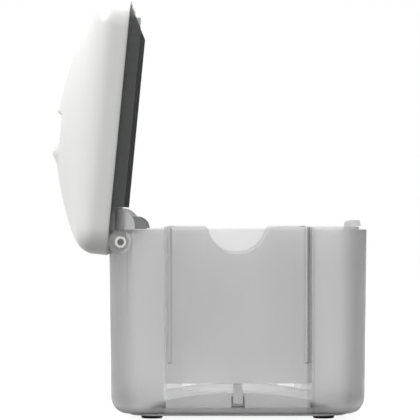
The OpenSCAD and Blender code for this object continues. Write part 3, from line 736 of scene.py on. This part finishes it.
@dataclass
class Assembly:
    """A set of pieces on one or more bodies, and the finish of each."""

    finishes: Finishes
    frame: dict

    def finish_node(self, node: str, slot: Slot, how: Softening = Softening(),
                    trim: Trim | None = None) -> Piece:
        """Replaces a CAD node with its softened copy in its finish.

        Args:
            node: the CAD node.
            slot: its material slot.
            how: how its edges are broken.
            trim: what cuts the copy before its edges are broken.

        Returns:
            The piece, riding on the node's body.
        """
        source = self.frame["nodes"][node]
        piece = softened(f"{node}_piece", source, how, trim)
        self.join(piece, node, slot)
        return piece

    def join(self, piece: Piece, node: str, slot: Slot) -> None:
        """Dresses a piece, lets it stand for its node and sets it on the node's body.

        Args:
            piece: the piece.
            node: the CAD node.
            slot: its material slot.
        """
        self.finishes.dress(piece, slot)
        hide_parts(node)
        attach(piece, self.frame["nodes"][node]["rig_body"])


# ---- the assemblies


@dataclass
class Base(Assembly):
    """The foot plate with its rubber feet and screws, and the chassis inside the tub."""

    def build(self) -> None:
        """Makes the plate, the chassis, the feet and the screws."""
        self.finish_node("base_plate", Slot.PALE, Softening(0.1 * MM, 1, 40.0))
        self.finish_node("chassis", Slot.PALE)
        for number in range(1, 5):
            self.finish_node(f"foot_{number}", Slot.FOOT_RUBBER, Softening(0.25 * MM, 3, 40.0))
        self.finish_node("base_screws", Slot.STEEL, SCREW_EDGES)


@dataclass
class Tub(Assembly):
    """The smoky tub with the catch on its lip, the hinge's pin and bushes, and the strips' anchors."""

    rail_cover: float = 3.5 * MM
    rail_foot: float = 42.8 * MM
    hinge: Vector = field(default_factory=Vector)
    guard_foot: float = 142.5 * MM
    guard_reach: float = 15.0 * MM
    guard_gap: float = 0.02 * MM
    bead_half: float = 1.9 * MM
    bead_proud: float = 0.9 * MM
    bead_root: float = 0.05 * MM
    bead_top: float = 0.6 * MM
    bead_steps: int = 20
    bead_shares: tuple[float, ...] = (0.15, 0.5, 0.8, 1.0)
    corner_merge: float = 0.02 * MM

    def build(self) -> None:
        """Makes the tub and what is fixed to it."""
        how = Softening(0.4 * MM, 3, 35.0, self.corner_merge)
        self.finish_node("tub", Slot.SMOKE, how, lambda piece: self._part(piece, "DIFFERENCE", 0.0))
        guards = softened("tub_guards_piece", self.frame["nodes"]["tub"], how,
                          lambda piece: self._part(piece, "INTERSECT", self.guard_gap))
        self.join(guards, "tub", Slot.SMOKE)
        guards.data.materials[0] = self.finishes.guard
        self._beads()
        self.finish_node("lid_catch", Slot.PALE)
        self.finish_node("hinge_pin", Slot.DARK_STEEL, Softening(0.25 * MM, 2, 40.0))
        for side in SIDES:
            self.finish_node(f"hinge_bush_{side}", Slot.NYLON, Softening(0.2 * MM, 2, 40.0))
        for end in ENDS:
            self.finish_node(f"strip_anchor_{end}", Slot.GREY)

    def _part(self, piece: Piece, operation: str, gap: float) -> None:
        """Keeps the tub without the guards over its rear rim, or the guards alone.

        Args:
            piece: a copy of the tub.
            operation: what the boolean does with the block round the guards.
            gap: how far the block stands over the cut.
        """
        low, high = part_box("tub")
        cut = self.guard_foot + gap
        near = (low.x - MM, low.y - MM, cut)
        far = (self.hinge.x + self.guard_reach, high.y + MM, high.z + MM)
        carve(piece, operation, block("guards", near, far, 0.0))

    def _beads(self) -> None:
        """Sets a rounded bead on the free edge of each of the four rails."""
        low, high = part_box("window_left")
        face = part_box("tub")[1].y
        for side, name in ((-1, "right"), (1, "left")):
            for edge, end in ((low.x + self.rail_cover, "rear"), (high.x - self.rail_cover, "front")):
                top = Vector((edge, side * face, high.z - self.bead_top))
                bead = self._bead(f"rail_bead_{name}_{end}", top)
                self.finishes.dress(bead, Slot.SMOKE)
                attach(bead, self.frame["nodes"]["tub"]["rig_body"])

    def _bead(self, name: str, top: Vector) -> Piece:
        """A half-round bar up the free edge of a rail, with a rounded foot.

        Args:
            name: the piece's name.
            top: the upper end of the edge, on the face of the tub's panel.

        Returns:
            The bar.
        """
        side = math.copysign(1.0, top.y)
        turns = np.linspace(0, math.pi, self.bead_steps + 1)
        across, out = self.bead_half * np.cos(turns), self.bead_proud * np.sin(turns)
        root = top.y - side * self.bead_root
        rings = []
        for share in self.bead_shares:
            height = self.rail_foot + self.bead_half * (1 - math.sqrt(1 - (1 - share) ** 2))
            rings.append((height, share))
        rings.append((top.z, 1.0))
        loops = []
        for height, share in rings:
            rows = [(top.x + a * share, top.y + side * o * share, height) for a, o in zip(across, out)]
            half = self.bead_half * share
            rows += [(top.x - half, root, height), (top.x + half, root, height)]
            loops.append(np.array(rows))
        mesh = ring_mesh(name, loops, closed=False)
        with edited(mesh) as work:
            bmesh.ops.holes_fill(work, edges=work.edges)
            bmesh.ops.recalc_face_normals(work, faces=work.faces)
        mesh.set_sharp_from_angle(angle=SHARP_ANGLE)
        return linked(name, mesh)


@dataclass
class Windows(Assembly):
    """The two panes that slide up out of the side walls."""

    def build(self) -> None:
        """Makes both panes."""
        for side in SIDES:
            self.finish_node(f"window_{side}", Slot.CLEAR, Softening(0.35 * MM, 3, 35.0))


@dataclass
class LidShell(Assembly):
    """The white dome: crowned, scooped round the outlet, with a lip behind it and a hood before it."""

    hinge: Vector = field(default_factory=Vector)
    open_angle: float = math.radians(84.5)
    back: float = 11.0 * MM
    front: float = 181.0 * MM
    half_width: float = 74.6 * MM
    corner: float = 20.0 * MM
    foot: float = 9.65 * MM
    edge_height: float = 22.8 * MM
    dome_height: float = 49.8 * MM
    edge_round: float = 12.0 * MM
    thickness: float = 2.0 * MM
    outlet_at: float = 80.0 * MM
    outlet_half: tuple[float, float] = (11.5 * MM, 28.0 * MM)
    outlet_corner: float = 9.0 * MM
    scoop: float = 3.3 * MM
    lip: float = 4.0 * MM
    lip_width: float = 7.0 * MM
    hood: float = 0.8 * MM
    hood_run: float = 26.0 * MM
    brow_width: float = 3.4 * MM
    corner_steps: int = 14
    side_steps: int = 26
    round_steps: int = 8
    field_steps: int = 54
    rim_round: float = 0.7 * MM
    side_fade: tuple[float, float] = (0.5, 1.1)
    hood_gap: float = 3 * MM
    scoop_run: tuple[float, float] = (-20 * MM, -9 * MM)
    lip_gap: float = 3.6 * MM
    wall_shares: tuple[float, ...] = (0.0, 0.35, 0.7)
    least_corner: float = 2 * MM
    field_ease: float = 1.6
    foot_turns: tuple[int, ...] = (-60, -30, 0, 30, 60)
    mouth_turns: tuple[int, ...] = (30, 60, 90, 120, 150)
    catch_notch: tuple[Point, Point] = ((-8 * MM, -14 * MM, -1 * MM), (4 * MM, 14 * MM, 9 * MM))
    notch_corner: float = 1.2 * MM
    button_hole: tuple[Point, Point] = ((-14 * MM, -11.2 * MM, 10 * MM), (6 * MM, 11.2 * MM, 16.4 * MM))
    hole_corner: float = 0.8 * MM

    @property
    def half_length(self) -> float:
        """Half the lid's length."""
        return (self.front + self.back) / 2

    @property
    def middle(self) -> float:
        """The lid's middle, along it from the hinge."""
        return (self.front - self.back) / 2

    def inside(self, depth: float) -> tuple[float, float, float, float]:
        """Half the length and width, the corner and the edge's radius at a depth under the outer face."""
        sizes = (self.half_length, self.half_width, self.corner, self.edge_round)
        return tuple(size - depth for size in sizes)

    def outline(self, half_x: float, half_y: float, corner: float) -> np.ndarray:
        """A rounded rectangle as evenly stepped points, the same number for every size.

        Args:
            half_x: half its length.
            half_y: half its width.
            corner: the radius of its corners.

        Returns:
            One row of x and y for each point.
        """
        arc = np.linspace(0, math.pi / 2, self.corner_steps + 1)
        run = np.linspace(0, 1, self.side_steps + 1)[1:-1, None]
        corners = []
        for quarter, (sx, sy) in enumerate(((1, 1), (-1, 1), (-1, -1), (1, -1))):
            turn = arc + quarter * math.pi / 2
            middle = np.array([sx * (half_x - corner), sy * (half_y - corner)])
            corners.append(middle + corner * np.stack([np.cos(turn), np.sin(turn)], 1))
        points = []
        for here, after in zip(corners, corners[1:] + corners[:1]):
            points += [here, here[-1] + run * (after[0] - here[-1])]
        return np.concatenate(points)

    def height(self, at: np.ndarray, depth: float) -> np.ndarray:
        """The height of the dome over its foot.

        Args:
            at: points as x and y from the lid's middle.
            depth: how far under the outer face the surface lies.

        Returns:
            The height at each point.
        """
        x, y = at[:, 0], at[:, 1]
        half_x, half_y, corner, r = self.inside(depth)
        crown = (1 - (x / self.half_length) ** 2) * (1 - (y / self.half_width) ** 2)
        crown = self.edge_height + (self.dome_height - self.edge_height) * crown
        qx, qy = np.abs(x) - (half_x - corner), np.abs(y) - (half_y - corner)
        inset = corner - np.hypot(np.maximum(qx, 0), np.maximum(qy, 0)) - np.minimum(np.maximum(qx, qy), 0)
        inset = np.clip(inset, 0, r)
        return crown + self.outlet_form(x, y) - depth - r + np.sqrt(r**2 - (r - inset) ** 2)

    def outlet_form(self, x: np.ndarray, y: np.ndarray) -> np.ndarray:
        """What the scoop, the lip and the hood add to the dome.

        Args:
            x: distances along the lid from its middle.
            y: distances across it.

        Returns:
            The added height at each point.
        """
        v = x + self.middle - self.outlet_at
        half_u, half_y = self.outlet_half
        side = 1 - smooth_step(*self.side_fade, np.abs(y) / half_y)
        tip = half_u + self.hood_gap
        brow = smooth_step(tip - self.brow_width, tip, v)
        scoop = smooth_step(*self.scoop_run, v) * (1 - brow)
        lip = np.exp(-(((v + half_u + self.lip_gap) / self.lip_width) ** 2))
        hood = smooth_step(self.hood_run, tip, v) * brow
        return side * (self.hood * hood + self.lip * lip - self.scoop * scoop)

    def skin(self, depth: float) -> list[np.ndarray]:
        """Rings of one face of the shell, from its foot to the outlet.

        Args:
            depth: 0 for the outer face, and the shell's thickness for the inner one.

        Returns:
            Rings of points in the lid's own axes.
        """
        half_x, half_y, corner, r = self.inside(depth)
        foot = self.outline(half_x, half_y, corner)
        wall = self.height(foot, depth)
        rings = []
        for share in self.wall_shares:
            rings.append(np.column_stack([foot, self.rim_round + (wall - self.rim_round) * share]))
        for step in range(self.round_steps + 1):
            inset = r * (1 - math.cos(step * math.pi / 2 / self.round_steps))
            ring = self.outline(half_x - inset, half_y - inset, max(corner - inset, self.least_corner))
            rings.append(np.column_stack([ring, self.height(ring, depth)]))
        start = rings[-1][:, :2]
        grow = self.rim_round
        mouth_x, mouth_y = self.outlet_half
        mouth = self.outline(mouth_x + grow, mouth_y + grow, self.outlet_corner + grow)
        mouth = mouth + np.array([self.outlet_at - self.middle, 0.0])
        for step in range(1, self.field_steps + 1):
            share = step / self.field_steps
            share = 1 - (1 - share) ** self.field_ease
            ring = start + (mouth - start) * share
            rings.append(np.column_stack([ring, self.height(ring, depth)]))
        return rings

    def build(self) -> None:
        """Makes the shell, cuts it for the latch and sets it in place of its node."""
        outer, inner = self.skin(0.0), self.skin(self.thickness)
        foot, mouth = self.rounded_foot(inner[0], outer[0]), self.rolled_mouth(outer[-1], inner[-1])
        rings = foot + outer + mouth + inner[::-1]
        piece = linked("lid_shell_piece", ring_mesh("lid_shell_piece", rings, closed=True))
        piece.data.transform(self.on_lid())
        self.cut(piece)
        self.join(piece, "lid_shell", Slot.WHITE)

    def rounded_foot(self, inner: np.ndarray, outer: np.ndarray) -> list[np.ndarray]:
        """The rounded edge that the lid stands on, from its inner face to its outer one.

        Args:
            inner: the lowest ring of the inner face.
            outer: the lowest ring of the outer face.

        Returns:
            The rings between them.
        """
        rings = []
        for turn in (math.radians(a) for a in self.foot_turns):
            half = (outer[:, :2] - inner[:, :2]) / 2
            across = (inner[:, :2] + outer[:, :2]) / 2 + half * math.sin(turn)
            height = self.rim_round * (1 - math.cos(turn))
            rings.append(np.column_stack([across, np.full(len(across), height)]))
        return rings

    def rolled_mouth(self, outer: np.ndarray, inner: np.ndarray) -> list[np.ndarray]:
        """The rolled edge of the outlet, from the outer face to the inner one.

        Args:
            outer: the last ring of the outer face.
            inner: the last ring of the inner face.

        Returns:
            The rings between them.
        """
        centre = np.array([self.outlet_at - self.middle, 0.0])
        half_x, half_y = self.outlet_half
        mouth = self.outline(half_x, half_y, self.outlet_corner) + centre
        rings = []
        for turn in (math.radians(a) for a in self.mouth_turns):
            share = (1 - math.cos(turn)) / 2
            across = outer[:, :2] + (mouth - outer[:, :2]) * math.sin(turn)
            height = outer[:, 2] + (inner[:, 2] - outer[:, 2]) * share
            rings.append(np.column_stack([across, height]))
        return rings

    def on_lid(self) -> Matrix:
        """The lid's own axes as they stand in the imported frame, with the lid open."""
        turn = Matrix.Rotation(-self.open_angle, 4, "Y")
        return Matrix.Translation(self.hinge) @ turn @ Matrix.Translation((self.middle, 0, self.foot))

    def cut(self, piece: Piece) -> None:
        """Cuts the notch for the catch and the hole for the latch's button in the front wall.

        Args:
            piece: the dome.
        """
        front = self.half_length
        cutters = []
        for name, ends, corner in (("notch", self.catch_notch, self.notch_corner),
                                   ("hole", self.button_hole, self.hole_corner)):
            low, high = ((front + x, y, z) for x, y, z in ends)
            cutter = block(name, low, high, corner)
            cutter.data.transform(self.on_lid())
            cutters.append(cutter)
        carve(piece, "DIFFERENCE", *cutters)
        piece.data.set_sharp_from_angle(angle=SHARP_ANGLE)


@dataclass
class Liner(Assembly):
    """The charcoal liner under the dome, its chute and screws, and the two hinge arms with their washers."""

    hinge: Vector = field(default_factory=Vector)
    washer_bore: float = 2.6 * MM
    washer_radius: float = 7.2 * MM
    washer_thickness: float = 0.6 * MM
    washer_gap: float = 0.2 * MM
    washer_steps: int = 64

    def build(self) -> None:
        """Makes the liner and what hangs on it."""
        self.finish_node("lid_liner", Slot.CHARCOAL)
        self.finish_node("outlet_chute", Slot.CHARCOAL)
        for side in SIDES:
            self.finish_node(f"hinge_arm_{side}", Slot.GREY, SHARP)
            self._washer(side)
        self.finish_node("liner_screws", Slot.STEEL, SCREW_EDGES)

    def _washer(self, side: str) -> None:
        """Sets a thin washer with rounded edges on the outer face of a hinge arm's eye.

        Args:
            side: left or right.
        """
        low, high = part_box(f"hinge_arm_{side}")
        way, face = (1, high.y) if side == "left" else (-1, low.y)
        inner = face + way * self.washer_gap
        outer = face + way * (self.washer_gap + self.washer_thickness)
        ease, bore, rim = self.washer_thickness / 4, self.washer_bore, self.washer_radius
        section = ((bore, inner), (rim - ease, inner), (rim, inner + way * ease),
                   (rim, outer - way * ease), (rim - ease, outer), (bore, outer))
        turns = np.linspace(0, 2 * math.pi, self.washer_steps, endpoint=False)
        rings = [np.column_stack([self.hinge.x + r * np.cos(turns), np.full(len(turns), y),
                                  self.hinge.z + r * np.sin(turns)]) for r, y in section]
        piece = linked(f"hinge_washer_{side}", ring_mesh(f"hinge_washer_{side}", rings, closed=True))
        piece.data.set_sharp_from_angle(angle=SHARP_ANGLE)
        self.finishes.dress(piece, Slot.NYLON)
        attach(piece, self.frame["nodes"][f"hinge_arm_{side}"]["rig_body"])


@dataclass
class Latch(Assembly):
    """The latch under the lid's front: a guide, a sliding button with two claws and its spring."""

    coil_keep: float = 0.73

    def build(self) -> None:
        """Makes the latch's guide, button and spring."""
        self.finish_node("latch_guide", Slot.CHARCOAL)
        self.finish_node("latch_slider", Slot.PALE)
        spring = self.finish_node("latch_spring", Slot.STEEL, SHARP)
        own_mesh(spring)


@dataclass
class Lift(Assembly):
    """The arched lift plate on two constant-force springs, whose strips hang from the tub's ends."""

    anchor_height: float = 0.1182
    strip_keep: float = 0.043

    def build(self) -> None:
        """Makes the plate, its drums and coils, and the strips."""
        self.finish_node("lift_plate", Slot.PALE)
        self.finish_node("drum_pins", Slot.STEEL, PIN_EDGES)
        for end in ENDS:
            self.finish_node(f"spring_drum_{end}", Slot.NYLON, PIN_EDGES)
            self.finish_node(f"spring_coil_{end}", Slot.STEEL, Softening(0.1 * MM, 2, 40.0))
            strip = self.finish_node(f"spring_strip_{end}", Slot.STEEL, Softening(0.05 * MM, 1, 40.0))
            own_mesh(strip)


@dataclass
class Yoke(Assembly):
    """The yoke whose hooks hold the lift plate down while the tub is filled."""

    def build(self) -> None:
        """Makes the yoke."""
        self.finish_node("hold_down_yoke", Slot.PALE)


def smooth_step(low: float, high: float, value: np.ndarray) -> np.ndarray:
    """A smooth change from 0 at low to 1 at high."""
    share = np.clip((value - low) / (high - low), 0, 1)
    return share * share * (3 - 2 * share)


def ring_mesh(name: str, rings: list[np.ndarray], closed: bool) -> Mesh:
    """A smooth mesh of quads between rings of the same number of points.

    Args:
        name: the mesh's name.
        rings: the rings, each with one row per point.
        closed: whether the last ring joins the first.

    Returns:
        The mesh.
    """
    count = len(rings[0])
    total = len(rings)
    points = np.concatenate(rings)
    faces = []
    for k in range(total if closed else total - 1):
        after = (k + 1) % total
        for i in range(count):
            j = (i + 1) % count
            faces.append((k * count + i, k * count + j, after * count + j, after * count + i))
    mesh = bpy.data.meshes.new(name)
    mesh.from_pydata(points.tolist(), [], faces)
    mesh.validate()
    mesh.shade_smooth()
    with edited(mesh) as work:
        bmesh.ops.recalc_face_normals(work, faces=work.faces)
    return mesh


def block(name: str, low: Point, high: Point, corner: float) -> Piece:
    """A block with rounded edges, used as a cutter.

    Args:
        name: the block's name.
        low: its lowest corner.
        high: its highest corner.
        corner: the radius of its edges, or 0.

    Returns:
        The block.
    """
    size = [b - a for a, b in zip(low, high)]
    middle = [(a + b) / 2 for a, b in zip(low, high)]
    mesh = bpy.data.meshes.new(name)
    with edited(mesh) as work:
        place = Matrix.Translation(middle) @ Matrix.Diagonal((*size, 1.0))
        bmesh.ops.create_cube(work, size=1.0, matrix=place)
        if corner:
            bmesh.ops.bevel(work, geom=work.edges[:], offset=corner, segments=CUTTER_STEPS, profile=0.5,
                            affect="EDGES")
    return linked(name, mesh)


# ---- the studio


@dataclass(frozen=True)
class Lamp:
    """A square soft lamp: where it stands, its side and its power."""

    name: str
    at: Point
    size: float
    watts: float


@dataclass
class Studio:
    """The camera, the lamps, the world and the floor."""

    camera_at: Point = (1.8 * MM, -2.2, 157.1 * MM)
    lens: float = 244.4
    sensor: float = 36.0
    world_level: float = 0.42
    shade_level: float = 0.05
    through_level: float = 0.1
    floor_half: float = 6.0
    floor_level: float = 0.9
    floor_tones: tuple[float, float] = (0.15, 0.17)
    gloss_side: tuple[float, float] = (0.1, 0.8)
    through_side: tuple[float, float] = (-0.05, -0.35)
    lamps: tuple[Lamp, ...] = (
        Lamp("key", (-2.6, -0.9, 2.3), 1.6, 88.0),
        Lamp("front", (0.4, -2.9, 1.0), 1.4, 12.0),
        Lamp("top", (0.3, 0.2, 2.4), 1.6, 27.0),
    )

    def build(self) -> None:
        """Makes everything around the object."""
        scene = bpy.context.scene
        scene.view_settings.view_transform = "Standard"
        scene.cycles.max_bounces = 24
        scene.cycles.transmission_bounces = 20
        scene.cycles.glossy_bounces = 6
        self._camera(scene)
        self._world(scene)
        self._floor()
        for lamp in self.lamps:
            self._lamp(lamp)

    def _camera(self, scene: bpy.types.Scene) -> None:
        """Sets the camera level with the middle of the object, looking along Y.

        Args:
            scene: the scene.
        """
        data = bpy.data.cameras.new("camera")
        data.lens, data.sensor_width = self.lens, self.sensor
        data.clip_end = 50.0
        camera = bpy.data.objects.new("camera", data)
        camera.location = self.camera_at
        camera.rotation_euler = (math.pi / 2, 0, 0)
        scene.collection.objects.link(camera)
        scene.camera = camera

    def _seen(self, graph: Graph) -> Socket:
        """1 for rays from the camera, from gloss and through glass.

        Args:
            graph: the graph that asks.

        Returns:
            1 for such rays, and 0 for the others.
        """
        path = graph.add("ShaderNodeLightPath").outputs
        both = graph.math("MAXIMUM", path["Is Camera Ray"], path["Is Glossy Ray"])
        return graph.math("MAXIMUM", both, path["Is Transmission Ray"])

    def _world(self, scene: bpy.types.Scene) -> None:
        """A world that shows white and lights the object at a plain level.

        It is darker where gloss looks towards +X, and where glass looks towards -X.

        Args:
            scene: the scene.
        """
        world = bpy.data.worlds.new("room")
        world.use_nodes = True
        graph = Graph(world.node_tree)
        seen = graph.math("MULTIPLY", self._seen(graph), 1 - self.world_level)
        level = graph.math("ADD", seen, self.world_level)
        way = graph.add("ShaderNodeTexCoord").outputs["Generated"]
        side = graph.add("ShaderNodeSeparateXYZ", {0: way}).outputs["X"]
        path = graph.add("ShaderNodeLightPath").outputs
        gloss = graph.ramp(side, *self.gloss_side, 0.0, 1 - self.shade_level)
        gloss = graph.math("MULTIPLY", gloss, path["Is Glossy Ray"])
        through = graph.ramp(side, *self.through_side, 0.0, 1 - self.through_level)
        through = graph.math("MULTIPLY", through, path["Is Transmission Ray"])
        shade = graph.math("MAXIMUM", gloss, through)
        level = graph.math("MULTIPLY", level, graph.math("SUBTRACT", 1.0, shade))
        background = world.node_tree.nodes["Background"].inputs
        background["Color"].default_value = (1, 1, 1, 1)
        graph.feed(background["Strength"], level)
        scene.world = world

    def _floor(self) -> None:
        """A floor that glows white to the camera and keeps a soft shadow.

        Its own tone is a dark grey, so it throws little light back at the object.
        """
        half = self.floor_half
        mesh = bpy.data.meshes.new("floor")
        corners = [(-half, -half, 0), (half, -half, 0), (half, half, 0), (-half, half, 0)]
        mesh.from_pydata(corners, [], [(0, 1, 2, 3)])
        floor = linked("floor", mesh)
        surface = Surface("floor")
        g = surface.graph
        mottle = g.noise(g.place(), 6.0, detail=3.0)
        tone = g.ramp(mottle, 0.2, 0.8, *self.floor_tones)
        colour = g.add("ShaderNodeCombineColor", {0: tone, 1: tone, 2: tone}).outputs[0]
        surface.set(Base_Color=colour, Roughness=0.8, Specular_IOR_Level=0.1)
        glow = g.math("MULTIPLY", self._seen(g), self.floor_level)
        surface.set(Emission_Color=(1, 1, 1, 1), Emission_Strength=glow)
        mesh.materials.append(surface.material)

    def _lamp(self, lamp: Lamp) -> None:
        """Sets up a lamp, aimed at the middle of the object.

        Args:
            lamp: the lamp.
        """
        data = bpy.data.lights.new(lamp.name, "AREA")
        data.shape = "SQUARE"
        data.size = lamp.size
        data.energy = lamp.watts
        light = bpy.data.objects.new(lamp.name, data)
        light.location = lamp.at
        aim = Vector((0, 0, self.camera_at[2])) - Vector(lamp.at)
        light.rotation_euler = aim.to_track_quat("-Z", "Y").to_euler()
        bpy.context.scene.collection.objects.link(light)


def main() -> None:
    """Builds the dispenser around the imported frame."""
    logging.basicConfig(level=logging.INFO, format="%(message)s")
    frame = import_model()
    Studio().build()
    low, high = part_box("window_left")
    cheek, rail_over_rim = 0.2 * MM, 2.0 * MM
    hinge = next(joint for joint in frame["joints"] if joint["name"] == "lid_hinge")
    finishes = Finishes(ClearField(low.x - cheek, high.x + cheek, low.z, high.z - rail_over_rim))
    axis = Vector(hinge["pos_m"])
    assemblies = (
        Base(finishes, frame),
        Tub(finishes, frame, hinge=axis),
        Windows(finishes, frame),
        LidShell(finishes, frame, hinge=axis),
        Liner(finishes, frame, hinge=axis),
        Latch(finishes, frame),
        Lift(finishes, frame),
        Yoke(finishes, frame),
    )
    for assembly in assemblies:
        assembly.build()


if __name__ == "__main__":
    main()
